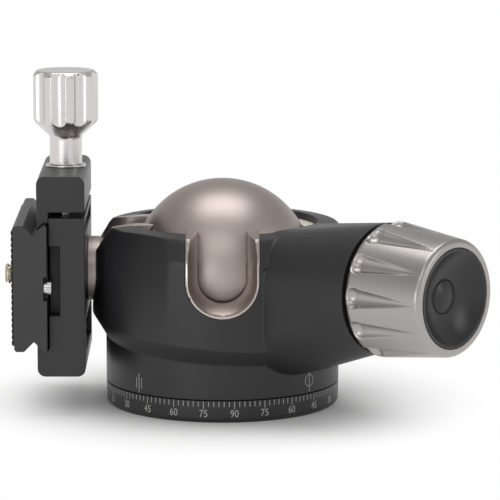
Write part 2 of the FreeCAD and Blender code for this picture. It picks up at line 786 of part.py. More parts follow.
def make_camera_pad():
    """A rubber facing with ribs along the plate."""
    half = plate_half_width - pad_margin
    pitch = 2 * half / pad_rib_count
    crest = plate_high_reach + pad_height
    valley = crest - pad_rib_height
    outline = [(plate_high_reach, plate_centre - half), (valley, plate_centre - half)]
    for index in range(pad_rib_count):
        low = plate_centre - half + index * pitch
        outline += [(crest, low + 0.25 * pitch), (crest, low + 0.75 * pitch), (valley, low + pitch)]
    outline.append((plate_high_reach, plate_centre + half))
    pad = clamp_prism(outline, plate_half_length - pad_margin)
    return pad.cut(aimed(rod(camera_screw_radius + 0.6, 0, FAR), 180, ball_height + plate_centre))


def make_camera_screw():
    low = plate_low_reach + camera_screw_float
    thread = plate_high_reach + pad_height
    screw = rod(camera_screw_head_radius, low, low + camera_screw_head_height)
    screw = screw.fuse(rod(camera_screw_neck, low, thread))
    screw = screw.fuse(rod(camera_screw_radius, thread, plate_high_reach + camera_screw_free))
    slot = block((low - overcut, -FAR, -coin_slot_width / 2), (low + coin_slot_depth, FAR, coin_slot_width / 2))
    return aimed(screw.cut(slot).removeSplitter(), 180, ball_height + plate_centre)


def build():
    outside = housing_outside()
    front_arc, back_arc = collar_arcs()
    return {
        "base_plate": make_base_plate(),
        "scale_ring": make_scale_ring(),
        "thread_insert": make_thread_insert(),
        "pan_bearing": make_pan_bearing(),
        "keeper_ring": make_keeper_ring(),
        "keeper_screws": make_keeper_screws(),
        "housing": make_housing(outside),
        "front_notch_liner": make_notch_liner(outside, -90, front_notch_rise),
        "left_notch_liner": make_notch_liner(outside, 180, 0),
        "collar_front_arc": front_arc,
        "collar_back_arc": back_arc,
        "lower_ball_seat": make_lower_seat(),
        "disc_spring": make_disc_spring(),
        "spindle_bushing": make_bushing(),
        "pan_lock_pad": make_pan_pad(),
        "brake_shoe": make_brake_shoe(),
        "main_knob": make_main_knob(),
        "main_knob_cap": make_knob_cap(),
        "main_spindle": make_spindle(),
        "pan_knob": make_pan_knob(),
        "pan_screw": make_pan_screw(),
        "ball": make_ball(),
        "clamp_body": make_clamp_body(),
        "stem_bolt": make_stem_bolt(),
        "guide_pins": make_guide_pins(),
        "moving_jaw": make_jaw(),
        "clamp_knob": make_clamp_knob(),
        "clamp_knob_washer": make_grip_washer(),
        "jaw_screw": make_jaw_screw(),
        "camera_plate": make_camera_plate(),
        "camera_pad": make_camera_pad(),
        "stop_screws": make_stop_screws(),
        "camera_screw": make_camera_screw(),
    }


os.makedirs("parts", exist_ok=True)
for name, shape in build().items():
    shape.exportStep(f"parts/{name}.step")
    print(name, shape.ShapeType, len(shape.Solids), shape.isValid(), round(shape.Volume, 1))
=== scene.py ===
import json
import math

import bmesh
import bpy
import numpy as np
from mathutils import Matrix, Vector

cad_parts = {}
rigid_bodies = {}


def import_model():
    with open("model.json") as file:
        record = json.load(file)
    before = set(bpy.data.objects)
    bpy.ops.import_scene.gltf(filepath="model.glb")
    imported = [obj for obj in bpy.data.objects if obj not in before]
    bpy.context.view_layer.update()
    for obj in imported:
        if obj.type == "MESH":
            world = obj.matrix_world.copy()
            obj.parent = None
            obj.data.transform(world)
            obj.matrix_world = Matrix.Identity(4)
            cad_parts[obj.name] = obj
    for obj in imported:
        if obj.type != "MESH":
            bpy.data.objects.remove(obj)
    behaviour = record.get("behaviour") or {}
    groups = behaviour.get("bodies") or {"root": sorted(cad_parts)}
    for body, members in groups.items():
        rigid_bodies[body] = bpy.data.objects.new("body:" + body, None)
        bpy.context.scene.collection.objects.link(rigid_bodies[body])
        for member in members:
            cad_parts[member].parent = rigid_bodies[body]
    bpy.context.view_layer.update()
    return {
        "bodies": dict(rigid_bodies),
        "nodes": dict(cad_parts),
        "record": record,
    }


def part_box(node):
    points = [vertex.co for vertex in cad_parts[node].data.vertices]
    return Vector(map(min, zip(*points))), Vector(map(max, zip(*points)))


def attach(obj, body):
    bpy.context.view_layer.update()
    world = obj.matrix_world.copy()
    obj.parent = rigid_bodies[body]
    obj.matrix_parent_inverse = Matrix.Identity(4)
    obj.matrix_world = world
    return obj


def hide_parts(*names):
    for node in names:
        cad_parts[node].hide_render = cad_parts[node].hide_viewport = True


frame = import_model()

own = set(frame["nodes"].values()) | set(frame["bodies"].values())
for spare in [thing for thing in bpy.data.objects if thing not in own]:
    bpy.data.objects.remove(spare)

# Degree ring of the pan base. An aluminium ring turned from bar and anodised black, with its foot
# chamfered, pressed round the base plate under the housing's skirt.
MM = 0.001
ring_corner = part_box("scale_ring")[1]
ring_radius = ring_corner.x / MM
ring_top = ring_corner.z / MM
ring_wall = 3.0
ring_chamfer = 1.2
pole_distance = 1e-7
black = (0.016, 0.016, 0.018)


def eased(corners, steps=5):
    """Softens a line of (along, radius, ease) corners. Each corner gives way to a curve between the
    points that lie the distance ease before and after it: (1-t)^2 start + 2t(1-t) corner + t^2 stop."""
    corners = np.array(corners, float)
    spots, ease = corners[:, :2], corners[:, 2]
    t = np.linspace(0, 1, steps)[:, None]
    line = [spots[:1]]
    for before, corner, after, reach in zip(spots, spots[1:], spots[2:], ease[1:]):
        if reach > 0:
            start = corner + (before - corner) / np.linalg.norm(before - corner) * reach
            stop = corner + (after - corner) / np.linalg.norm(after - corner) * reach
            line.append((1 - t) ** 2 * start + 2 * t * (1 - t) * corner + t ** 2 * stop)
        else:
            line.append(corner[None])
    line.append(spots[-1:])
    return np.concatenate(line)


def bearings(origin, turn=None):
    """A lathe's place: origin, axis, and the two directions square to it. With no turn the axis is
    upright, and otherwise it is level and points turn degrees from +X."""
    if turn is None:
        return np.array(origin), np.array([0, 0, 1.0]), np.array([1.0, 0, 0]), np.array([0, 1.0, 0])
    c, s = math.cos(math.radians(turn)), math.sin(math.radians(turn))
    return np.array(origin), np.array([c, s, 0]), np.array([-s, c, 0]), np.array([0, 0, 1.0])


def turned(name, profile, place, columns, radii=None, closed=False):
    """A turned surface in millimetres: origin + along * axis + radius * (cos(a) * side + sin(a) * up)
    for a from 0 to 360 degrees. The radius may vary with a, and points at one pole become one."""
    along = profile[:, 0]
    if radii is None:
        radii = np.repeat(profile[:, 1:2], columns, axis=1)
    angle = np.arange(columns) * 2 * np.pi / columns
    origin, axis, side, up = place
    spokes = np.cos(angle)[:, None] * side + np.sin(angle)[:, None] * up
    points = origin + along[:, None, None] * axis + radii[:, :, None] * spokes
    index = np.arange(len(along) * columns).reshape(len(along), columns)
    rows = np.vstack([index, index[:1]]) if closed else index
    low, high = rows[:-1], rows[1:]
    faces = np.stack([low, np.roll(low, -1, 1), np.roll(high, -1, 1), high], -1).reshape(-1, 4)
    mesh = bpy.data.meshes.new(name)
    mesh.from_pydata((points.reshape(-1, 3) * MM).tolist(), [], faces.tolist())
    work = bmesh.new()
    work.from_mesh(mesh)
    bmesh.ops.remove_doubles(work, verts=work.verts[:], dist=pole_distance)
    work.to_mesh(mesh)
    work.free()
    return mesh


def fitted(mesh, body, material, nodes=(), smooth=True):
    """Puts a mesh on a body as a piece with even shading, smooth or flat, standing for its nodes."""
    mesh.polygons.foreach_set("use_smooth", np.full(len(mesh.polygons), smooth))
    mesh.materials.clear()
    mesh.materials.append(material)
    piece = bpy.data.objects.new(mesh.name, mesh)
    bpy.context.scene.collection.objects.link(piece)
    even = piece.modifiers.new("even_shading", "WEIGHTED_NORMAL")
    even.keep_sharp = True
    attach(piece, body)
    if nodes:
        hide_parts(*nodes)
    return piece


def tool_mark_group():
    """Fine blasted grain mixed with lathe rings about the X axis of the place that comes in. The rings
    are noise along x plus the distance from that axis, so they follow walls and end faces alike."""
    group = bpy.data.node_groups.new("tool_marks", "ShaderNodeTree")
    for socket, kind in (("Place", "NodeSocketVector"), ("Grain", "NodeSocketFloat"),
                         ("Rings", "NodeSocketFloat"), ("Ring share", "NodeSocketFloat")):
        group.interface.new_socket(socket, in_out="INPUT", socket_type=kind)
    for socket in ("Tone", "Height"):
        group.interface.new_socket(socket, in_out="OUTPUT", socket_type="NodeSocketFloat")
    enter = group.nodes.new("NodeGroupInput")
    leave = group.nodes.new("NodeGroupOutput")
    fine = group.nodes.new("ShaderNodeTexNoise")
    fine.inputs["Detail"].default_value = 3.0
    cloud = group.nodes.new("ShaderNodeTexNoise")
    cloud.inputs["Scale"].default_value = 45.0
    cloud.inputs["Detail"].default_value = 4.0
    parts = group.nodes.new("ShaderNodeSeparateXYZ")
    across = group.nodes.new("ShaderNodeCombineXYZ")
    reach = group.nodes.new("ShaderNodeVectorMath")
    reach.operation = "LENGTH"
    total = group.nodes.new("ShaderNodeMath")
    total.operation = "ADD"
    count = group.nodes.new("ShaderNodeMath")
    count.operation = "MULTIPLY"
    rings = group.nodes.new("ShaderNodeTexNoise")
    rings.noise_dimensions = "1D"
    rings.inputs["Scale"].default_value = 1.0
    rings.inputs["Detail"].default_value = 4.0
    height = group.nodes.new("ShaderNodeMix")
    tone = group.nodes.new("ShaderNodeMix")
    tone.inputs[0].default_value = 0.45
    join = group.links.new
    join(enter.outputs["Place"], fine.inputs["Vector"])
    join(enter.outputs["Grain"], fine.inputs["Scale"])
    join(enter.outputs["Place"], cloud.inputs["Vector"])
    join(enter.outputs["Place"], parts.inputs[0])
    join(parts.outputs["Y"], across.inputs["Y"])
    join(parts.outputs["Z"], across.inputs["Z"])
    join(across.outputs[0], reach.inputs[0])
    join(parts.outputs["X"], total.inputs[0])
    join(reach.outputs["Value"], total.inputs[1])
    join(total.outputs[0], count.inputs[0])
    join(enter.outputs["Rings"], count.inputs[1])
    join(count.outputs[0], rings.inputs["W"])
    join(enter.outputs["Ring share"], height.inputs[0])
    join(fine.outputs["Fac"], height.inputs[2])
    join(rings.outputs["Fac"], height.inputs[3])
    join(height.outputs[0], tone.inputs[2])
    join(cloud.outputs["Fac"], tone.inputs[3])
    join(height.outputs[0], leave.inputs["Height"])
    join(tone.outputs[0], leave.inputs["Tone"])
    return group


tool_marks = tool_mark_group()


def finish(name, colour, metallic, roughness, grain=3000.0, depth=0.00002, vary=0.12, spread=0.05,
           axis=((0, 0, 0), (0, 0, 0)), rings=2500.0, ring_share=0.0):
    """A surface finish: the colour a little lighter and darker with the tone of the tool marks, the
    roughness with it, and their height as fine relief. The axis turns and shifts the lathe's X."""
    material = bpy.data.materials.new(name)
    material.use_nodes = True
    tree = material.node_tree
    shader = tree.nodes["Principled BSDF"]
    shader.inputs["Metallic"].default_value = metallic
    coords = tree.nodes.new("ShaderNodeTexCoord")
    turn = tree.nodes.new("ShaderNodeMapping")
    turn.inputs["Rotation"].default_value = [math.radians(angle) for angle in axis[0]]
    turn.inputs["Location"].default_value = [length * MM for length in axis[1]]
    marks = tree.nodes.new("ShaderNodeGroup")
    marks.node_tree = tool_marks
    marks.inputs["Grain"].default_value = grain
    marks.inputs["Rings"].default_value = rings
    marks.inputs["Ring share"].default_value = ring_share
    stain = tree.nodes.new("ShaderNodeMix")
    stain.data_type = "RGBA"
    stain.inputs[6].default_value = [*(value * (1 - vary) for value in colour), 1]
    stain.inputs[7].default_value = [*(value * (1 + vary) for value in colour), 1]
    rough = tree.nodes.new("ShaderNodeMapRange")
    rough.inputs["From Min"].default_value = 0.3
    rough.inputs["From Max"].default_value = 0.7
    rough.inputs["To Min"].default_value = roughness - spread
    rough.inputs["To Max"].default_value = roughness + spread
    relief = tree.nodes.new("ShaderNodeBump")
    relief.inputs["Strength"].default_value = 0.5
    relief.inputs["Distance"].default_value = depth
    join = tree.links.new
    join(coords.outputs["Object"], turn.inputs["Vector"])
    join(turn.outputs["Vector"], marks.inputs["Place"])
    join(marks.outputs["Tone"], stain.inputs[0])
    join(stain.outputs[2], shader.inputs["Base Color"])
    join(marks.outputs["Tone"], rough.inputs["Value"])
    join(rough.outputs["Result"], shader.inputs["Roughness"])
    join(marks.outputs["Height"], relief.inputs["Height"])
    join(relief.outputs["Normal"], shader.inputs["Normal"])
    return material


upright_axis = ((0, 90, 0), (0, 0, 0))
ring_black = finish("ring_black_anodised", black, 0.1, 0.40, axis=upright_axis, ring_share=0.6)
ring_inner = ring_radius - ring_wall
ring_middle = ring_top / 2
ring_seam = 0.1
ring_columns = 192
ring_profile = eased([(ring_middle, ring_inner, 0), (0, ring_inner, 0.1),
                      (0, ring_radius - ring_chamfer, 0.15), (ring_chamfer, ring_radius, 0.25),
                      (ring_top, ring_radius, 0.2), (ring_top, ring_inner, 0.1),
                      (ring_middle + ring_seam, ring_inner, 0)])
ring_mesh = turned("degree_ring", ring_profile, bearings((0, 0, 0)), ring_columns, closed=True)
fitted(ring_mesh, "base", ring_black, ["scale_ring"])

# Degree scale. Numbers and lines are engraved round the ring and filled with pale paint, with 90
# ahead, then down to 0 at each quarter and up again, a number every 15 degrees.
scale_middle = -84.2
number_step = 15.0
tick_step = 2.5
number_low = 1.85
number_height = 2.15
number_narrowing = 0.86
tick_margin = 0.15
tick_high = ring_top - tick_margin
tick_low = 4.95
long_tick_low = 4.35
tick_half_width = 0.11
paint_low = -0.05
paint_proud = 0.025


def lettered(word):
    """A word as points and faces: x centred and narrowed, y from 0 to 1, z from 0 to 1."""
    curve = bpy.data.curves.new(word, "FONT")
    curve.body = word
    curve.align_x = "CENTER"
    curve.extrude = 0.5
    holder = bpy.data.objects.new(word, curve)
    bpy.context.scene.collection.objects.link(holder)
    view = bpy.context.evaluated_depsgraph_get()
    mesh = bpy.data.meshes.new_from_object(holder.evaluated_get(view))
    points = np.empty(len(mesh.vertices) * 3, np.float32)
    mesh.vertices.foreach_get("co", points)
    points = points.reshape(-1, 3).astype(float)
    faces = [list(face.vertices) for face in mesh.polygons]
    bpy.data.objects.remove(holder)
    bpy.data.meshes.remove(mesh)
    low, high = points.min(0), points.max(0)
    tall = high[1] - low[1]
    x = (points[:, 0] - (low[0] + high[0]) / 2) / tall * number_narrowing
    return np.stack([x, (points[:, 1] - low[1]) / tall, points[:, 2] - low[2]], 1), faces


def bent(points, azimuth, radius):
    """Wraps (across, height, out) points in millimetres on an upright cylinder: the angle is the
    azimuth plus across / radius, and the distance from the axis is radius + out."""
    angle = math.radians(azimuth) + points[:, 0] / radius
    away = radius + points[:, 2]
    return np.stack([away * np.cos(angle), away * np.sin(angle), points[:, 1]], 1)


def bar(half_width, low, high):
    """A painted bar as eight (across, height, out) points and six faces that look outwards."""
    spots = [(x, y, z) for x in (-half_width, half_width) for y in (low, high)
             for z in (paint_low, paint_proud)]
    faces = [[1, 5, 7, 3], [0, 2, 6, 4], [0, 4, 5, 1], [2, 3, 7, 6], [0, 1, 3, 2], [4, 6, 7, 5]]
    return np.array(spots), faces


def gathered(name, marks):
    """One mesh from many (points, faces) marks, in millimetres."""
    points, faces = [], []
    for spots, corners in marks:
        faces += [[corner + len(points) for corner in face] for face in corners]
        points += (spots * MM).tolist()
    mesh = bpy.data.meshes.new(name)
    mesh.from_pydata(points, [], faces)
    return mesh


scale_marks = []
for step in range(int(360 / tick_step)):
    azimuth = scale_middle + step * tick_step
    long = step % int(number_step / tick_step) == 0
    points, faces = bar(tick_half_width, long_tick_low if long else tick_low, tick_high)
    scale_marks.append((bent(points, azimuth, ring_radius), faces))
for step in range(int(360 / number_step)):
    away = (step * number_step + 180) % 360 - 180
    points, faces = lettered(str(int(abs(90 - abs(away)))))
    size = [number_height, number_height, paint_proud - paint_low]
    points = points * size + [0, number_low, paint_low]
    scale_marks.append((bent(points, scale_middle + away, ring_radius), faces))
mark_paint = finish("pale_filled_paint", (0.36, 0.345, 0.33), 0.0, 0.6, depth=0.00001)
scale_mesh = gathered("degree_scale_paint", scale_marks)
fitted(scale_mesh, "base", mark_paint, smooth=False)

# Base plate, tripod insert and what holds the pan together inside: black plate, steel bush, keeper
# ring and screws, slippery washer. All turned or drilled, none of it coated after assembly.
join_distance = 1e-6
flat_angle = math.radians(0.4)
edge_angle = math.radians(32)
body_of = {node: body for body, nodes in frame["record"]["behaviour"]["bodies"].items()
           for node in nodes}


def soft_edged(node, name, width, material):
    """A node's solid with its corners eased: its triangles joined, flat neighbours merged, and each
    edge that turns by more than the edge angle rounded over the given width in millimetres."""
    work = bmesh.new()
    work.from_mesh(frame["nodes"][node].data)
    bmesh.ops.remove_doubles(work, verts=work.verts[:], dist=join_distance)
    bmesh.ops.dissolve_limit(work, angle_limit=flat_angle, verts=work.verts[:], edges=work.edges[:])
    work.verts.index_update()
    points = [tuple(vert.co) for vert in work.verts]
    faces = [[vert.index for vert in face.verts] for face in work.faces]
    work.free()
    mesh = bpy.data.meshes.new(name)
    mesh.from_pydata(points, [], faces)
    piece = fitted(mesh, body_of[node], material, [node])
    ease = piece.modifiers.new("eased_edges", "BEVEL")
    ease.width = width * MM
    ease.segments = 2
    ease.limit_method = "ANGLE"
    ease.angle_limit = edge_angle
    ease.use_clamp_overlap = False
    piece.modifiers.move(1, 0)


def kept(node, material):
    """A node that stays as it is, with a better finish in its material slots."""
    thing = frame["nodes"][node]
    if not thing.material_slots:
        thing.data.materials.append(None)
    for slot in thing.material_slots:
        slot.material = material


steel = (0.60, 0.585, 0.565)
plate_black = finish("base_black_anodised", black, 0.1, 0.45, axis=upright_axis, ring_share=0.5)
turned_steel = finish("turned_steel", steel, 1.0, 0.28, axis=upright_axis, ring_share=0.8)
seat_cream = finish("cream_bearing_plastic", (0.74, 0.70, 0.62), 0.0, 0.45, depth=0.00001)
kept("base_plate", plate_black)
soft_edged("thread_insert", "tripod_insert", 0.2, turned_steel)
kept("keeper_ring", turned_steel)
kept("keeper_screws", turned_steel)
kept("pan_bearing", seat_cream)

# Housing. Machined from one block of aluminium, blasted and anodised matt black, with a neck for
# the main knob and two drop notches. Every corner is eased by hand before the anodising.
housing_black = finish("housing_black_anodised", black, 0.12, 0.43, grain=2600.0, depth=0.00003,
                       vary=0.15, spread=0.06)
soft_edged("housing", "housing_shell", 0.35, housing_black)

# Index marks on the housing's skirt: three short lines at the front left and a ring crossed by a
# line under the main knob, engraved and filled with the same pale paint as the scale.
skirt_radius = 35.6
trio_azimuth = -134.6
trio_pitch = 1.05
trio_low = 8.6
trio_high = 11.8
trio_overhang = 1.3
lock_mark_azimuth = -43.0
lock_mark_low = 7.4
lock_mark_high = 14.2
lock_ring_height = 10.85
lock_ring_radius = 1.75
mark_half_width = 0.12
ring_mark_corners = 40


def ring_mark(height, radius, half_width):
    """A flat painted ring as (across, height, out) points: two circles, each low and proud."""
    count = ring_mark_corners
    angle = np.arange(count) * 2 * np.pi / count
    loops = [(radius - half_width, paint_low), (radius + half_width, paint_low),
             (radius + half_width, paint_proud), (radius - half_width, paint_proud)]
    points = np.concatenate([np.stack([r * np.cos(angle), height + r * np.sin(angle),
                                       np.full(count, out)], 1) for r, out in loops])
    index = np.arange(4 * count).reshape(4, count)
    ahead = np.roll(index, -1, 0)
    faces = np.stack([index, np.roll(index, -1, 1), np.roll(ahead, -1, 1), ahead], -1)
    return points, faces.reshape(-1, 4).tolist()


skirt_marks = []
for across, more in ((-trio_pitch, 0), (0, trio_overhang), (trio_pitch, 0)):
    points, faces = bar(mark_half_width, trio_low - more, trio_high + more)
    skirt_marks.append((bent(points + [across, 0, 0], trio_azimuth, skirt_radius), faces))
for points, faces in (bar(mark_half_width, lock_mark_low, lock_mark_high),
                      ring_mark(lock_ring_height, lock_ring_radius, mark_half_width)):
    skirt_marks.append((bent(points, lock_mark_azimuth, skirt_radius), faces))
skirt_mesh = gathered("index_mark_paint", skirt_marks)
fitted(skirt_mesh, "housing", mark_paint, smooth=False)

# Notch linings. A U of titanium grey aluminium is pressed into each notch, blasted with the ball's
# finish, and its outer lip is turned bright.
titanium = (0.42, 0.367, 0.342)
bright_titanium = (0.48, 0.43, 0.40)
lip_start = 38.9
lip_stop = 39.4
lip_roughness = 0.24


def with_bright_rim(material, start, stop, roughness):
    """Lightens a finish where its distance from the upright axis passes from start to stop."""
    tree = material.node_tree
    shader = tree.nodes["Principled BSDF"]
    coords = tree.nodes.new("ShaderNodeTexCoord")
    level = tree.nodes.new("ShaderNodeVectorMath")
    level.operation = "MULTIPLY"
    level.inputs[1].default_value = (1, 1, 0)
    away = tree.nodes.new("ShaderNodeVectorMath")
    away.operation = "LENGTH"
    mask = tree.nodes.new("ShaderNodeMapRange")
    mask.inputs["From Min"].default_value = start * MM
    mask.inputs["From Max"].default_value = stop * MM
    bright = tree.nodes.new("ShaderNodeMix")
    bright.data_type = "RGBA"
    bright.inputs[7].default_value = (*bright_titanium, 1)
    smooth = tree.nodes.new("ShaderNodeMix")
    smooth.inputs[3].default_value = roughness
    join = tree.links.new
    stain = shader.inputs["Base Color"].links[0].from_socket
    rough = shader.inputs["Roughness"].links[0].from_socket
    join(coords.outputs["Object"], level.inputs[0])
    join(level.outputs[0], away.inputs[0])
    join(away.outputs["Value"], mask.inputs["Value"])
    join(mask.outputs["Result"], bright.inputs[0])
    join(mask.outputs["Result"], smooth.inputs[0])
    join(stain, bright.inputs[6])
    join(rough, smooth.inputs[2])
    join(bright.outputs[2], shader.inputs["Base Color"])
    join(smooth.outputs[0], shader.inputs["Roughness"])
    return material


liner_finish = with_bright_rim(finish("liner_titanium_grey", titanium, 1.0, 0.38),
                               lip_start, lip_stop, lip_roughness)
soft_edged("front_notch_liner", "front_notch_lining", 0.25, liner_finish)
soft_edged("left_notch_liner", "left_notch_lining", 0.25, liner_finish)

# Ball seats. Cream bearing plastic arcs above the ball and a ring below it, on a blued disc spring
# that keeps the ball snug.
spring_blue = finish("blued_spring_steel", (0.20, 0.21, 0.24), 1.0, 0.35, axis=upright_axis,
                     ring_share=0.5)
soft_edged("collar_front_arc", "front_seat_arc", 0.2, seat_cream)
soft_edged("collar_back_arc", "back_seat_arc", 0.2, seat_cream)
kept("lower_ball_seat", seat_cream)
kept("disc_spring", spring_blue)

# Ball and stem. Turned from one bar, bead blasted and anodised titanium grey. The stem flares to
# the foot that the clamp is bolted to.
ball_radius = 27.5
ball_height = 41.0
stem_neck = 7.0
stem_foot = 9.8
flare_start = 28.6
flare_end = 37.6
stem_end = 41.0
root_round = 0.6
root_lead = 0.5
ball_rows = 110
ball_columns = 192
root_rows = 8
flare_rows = 24
neck_meets = math.sqrt(ball_radius ** 2 - (stem_neck + root_round) ** 2)
sweep = np.linspace(math.pi, math.acos(neck_meets / ball_radius), ball_rows)
sphere_line = np.stack([ball_radius * np.cos(sweep), ball_radius * np.sin(sweep)], 1)
sphere_line[0, 1] = 0
root_t = np.linspace(0, 1, root_rows)[1:, None]
root_line = ((1 - root_t) ** 2 * sphere_line[-1]
             + 2 * root_t * (1 - root_t) * [neck_meets + root_lead, stem_neck]
             + root_t ** 2 * [flare_start, stem_neck])
flare_t = np.linspace(0, 1, flare_rows)[1:]
flare_line = np.stack([flare_start + (flare_end - flare_start) * flare_t,
                       stem_neck + (stem_foot - stem_neck) * flare_t ** 2], 1)
foot_line = eased([(flare_end, stem_foot, 0), (stem_end, stem_foot, 0.3), (stem_end, 0, 0)])[1:]
ball_line = np.concatenate([sphere_line, root_line, flare_line, foot_line])
ball_place = bearings((0, 0, ball_height), 180)
level_axis = ((0, 0, 180), (0, 0, -ball_height))
ball_finish = finish("ball_titanium_grey", titanium, 1.0, 0.40, grain=3200.0, axis=level_axis,
                     ring_share=0.12)
ball_mesh = turned("ball_and_stem", ball_line, ball_place, ball_columns)
fitted(ball_mesh, "ball", ball_finish, ["ball"])
screw_grey = (0.58, 0.565, 0.54)
screw_steel = finish("screw_steel", screw_grey, 1.0, 0.26, axis=level_axis, ring_share=0.8)
kept("stem_bolt", screw_steel)

# Main knob. Turned from bar with a light taper, then twelve flutes are milled in it, each a round
# scoop at the body end that runs out to a point, and left bare and bright.
knob_turn = -42.7
knob_height = 42.3
knob_start = 65.4
knob_length = 25.6
knob_root = 20.0
knob_tip = 17.3
knob_face = 14.0
knob_edge = 1.3
knob_edge_run = 1.6
taper_start = 2.4
taper_stop = knob_length - 1.6
rim_run = 0.9
rim_drop = 0.1
rim_edge = 1.0
knob_rows = 84
knob_flutes = 12
knob_columns = knob_flutes * 44
cap_radius = 14.7
cap_depth = 7.0
cap_fit = 0.05
cap_floor = knob_length - cap_depth
flute_stop = 22.8
flute_start = 4.6
flute_depth = 2.1
flute_root = 3.0
flute_tip = 0.7
bulb_place = 3.7
bulb_radius = 3.4
bulb_height = 21.0
flute_edge = 0.45
fluted_band = 1.2


def blended_least(first, second, width):
    """The lesser of two fields, rounded over the width where they cross."""
    share = np.clip(0.5 + 0.5 * (second - first) / width, 0, 1)
    return second * (1 - share) + first * share - width * share * (1 - share)


def scooped(height, cutter, offset):
    """Where a spoke from the axis meets a round cutter: h cos(o) - sqrt(c^2 - h^2 sin(o)^2)."""
    under = cutter ** 2 - (height * np.sin(offset)) ** 2
    met = height * np.cos(offset) - np.sqrt(np.maximum(under, 0))
    return np.where((under > 0) & (cutter > 0), met, 1e3)


def from_flute(columns, flutes, lead=0.0):
    """Each column's angle from the nearest flute: the angle round the axis plus the lead, brought
    between minus and plus half a flute's share of the turn."""
    turn = np.arange(columns) * 2 * np.pi / columns + lead
    return (turn * flutes + np.pi) % (2 * np.pi) / flutes - np.pi / flutes


def tapered(along):
    """The knob's wall radius at a place along it: level, then a straight taper, then level."""
    share = np.clip((along - taper_start) / (taper_stop - taper_start), 0, 1)
    return knob_root - (knob_root - knob_tip) * share


knob_near = eased([(0, knob_face, 0), (0, knob_root - knob_edge, 0.5),
                   (knob_edge_run, knob_root, 0.7), (taper_start, knob_root, 0)])
knob_wall = np.linspace(taper_start, taper_stop, knob_rows)
knob_far = eased([(taper_stop, knob_tip, 0), (knob_length - rim_run, knob_tip - rim_drop, 0.4),
                  (knob_length, knob_tip - rim_edge, 0.5), (knob_length, cap_radius + cap_fit, 0.25),
                  (cap_floor, cap_radius + cap_fit, 0.2), (cap_floor, 0, 0)])
knob_line = np.concatenate([[[0, 0]], knob_near[:-1],
                            np.stack([knob_wall, tapered(knob_wall)], 1), knob_far[1:]])
offset = from_flute(knob_columns, knob_flutes)
along = knob_line[:, :1]
run = np.clip((along - flute_start) / (flute_stop - flute_start), 0, 1)
cutter = flute_root + (flute_tip - flute_root) * run
groove = scooped(tapered(along) - flute_depth * (1 - run) + cutter,
                 np.where(along > bulb_place, cutter, 0), offset)
bulb = np.sqrt(np.maximum(bulb_radius ** 2 - (along - bulb_place) ** 2, 0))
scoop = scooped(np.full_like(along, bulb_height), bulb, offset)
plain = np.repeat(knob_line[:, 1:2], knob_columns, axis=1)
fluted = blended_least(plain, np.minimum(groove, scoop), flute_edge)
outside = (np.arange(len(knob_line)) > 1) & (knob_line[:, 1] > knob_tip - fluted_band)
knob_radii = np.where(outside[:, None], fluted, plain)
knob_place = bearings((knob_start * math.cos(math.radians(knob_turn)),
                       knob_start * math.sin(math.radians(knob_turn)), knob_height), knob_turn)
knob_axis = ((0, 0, -knob_turn), (0, 0, -knob_height))
bare_aluminium = (0.40, 0.38, 0.365)
knob_finish = finish("knob_turned_aluminium", bare_aluminium, 1.0, 0.33, axis=knob_axis,
                     rings=3500.0, ring_share=0.85, vary=0.06)
knob_mesh = turned("main_knob_grip", knob_line, knob_place, knob_columns, knob_radii)
fitted(knob_mesh, "main_knob", knob_finish, ["main_knob"])

# Cap of the main knob. A dished black disc pressed into the knob's end, its bowl turned in fine
# rings, with a low domed button in the middle.
bowl_depth = 4.6
bowl_rim = 13.8
bowl_rows = 40
button_radius = 5.0
button_rise = 1.6
button_edge = 0.25
button_wall = 0.3
button_roundness = 0.75
button_rows = 16
groove_width = 0.7
groove_rise = 0.1
cap_gap = 0.02
cap_edge = 0.3
cap_edge_run = 0.15
cap_columns = 160
bowl_spots = np.linspace(bowl_rim, button_radius + groove_width, bowl_rows)
bowl_line = np.stack([knob_length - bowl_depth * (1 - (bowl_spots / bowl_rim) ** 3), bowl_spots], 1)
button_foot = knob_length - bowl_depth + groove_rise
button_spots = np.linspace(button_radius - button_edge, 0, button_rows)
button_dome = 1 - button_roundness * (button_spots / button_radius) ** 2
button_line = np.stack([button_foot + button_rise * button_dome, button_spots], 1)
cap_line = np.concatenate([
    eased([(cap_floor + cap_gap, 0, 0), (cap_floor + cap_gap, cap_radius, 0.1),
           (knob_length - cap_edge_run, cap_radius, 0.1), (knob_length, cap_radius - cap_edge, 0.1),
           (knob_length, bowl_rim, 0)]),
    bowl_line[1:], [[button_foot, button_radius], [button_foot + button_wall, button_radius]],
    button_line])
cap_finish = finish("cap_black_anodised", (0.020, 0.020, 0.022), 0.2, 0.30, axis=knob_axis,
                    rings=3000.0, ring_share=0.9, depth=0.00003)
cap_mesh = turned("main_knob_dish", cap_line, knob_place, cap_columns)
fitted(cap_mesh, "main_knob", cap_finish, ["main_knob_cap"])

# Main spindle, its bushing and the brake shoe. The steel spindle pushes a brass shoe against the
# ball, and runs in a brass bushing pressed into the neck.
spindle_steel = finish("spindle_steel", steel, 1.0, 0.24, axis=knob_axis, ring_share=0.9)
turned_brass = finish("turned_brass", (0.72, 0.54, 0.26), 1.0, 0.28, axis=knob_axis, ring_share=0.8)
soft_edged("main_spindle", "lock_spindle", 0.15, spindle_steel)
soft_edged("spindle_bushing", "neck_bushing", 0.2, turned_brass)
kept("brake_shoe", turned_brass)

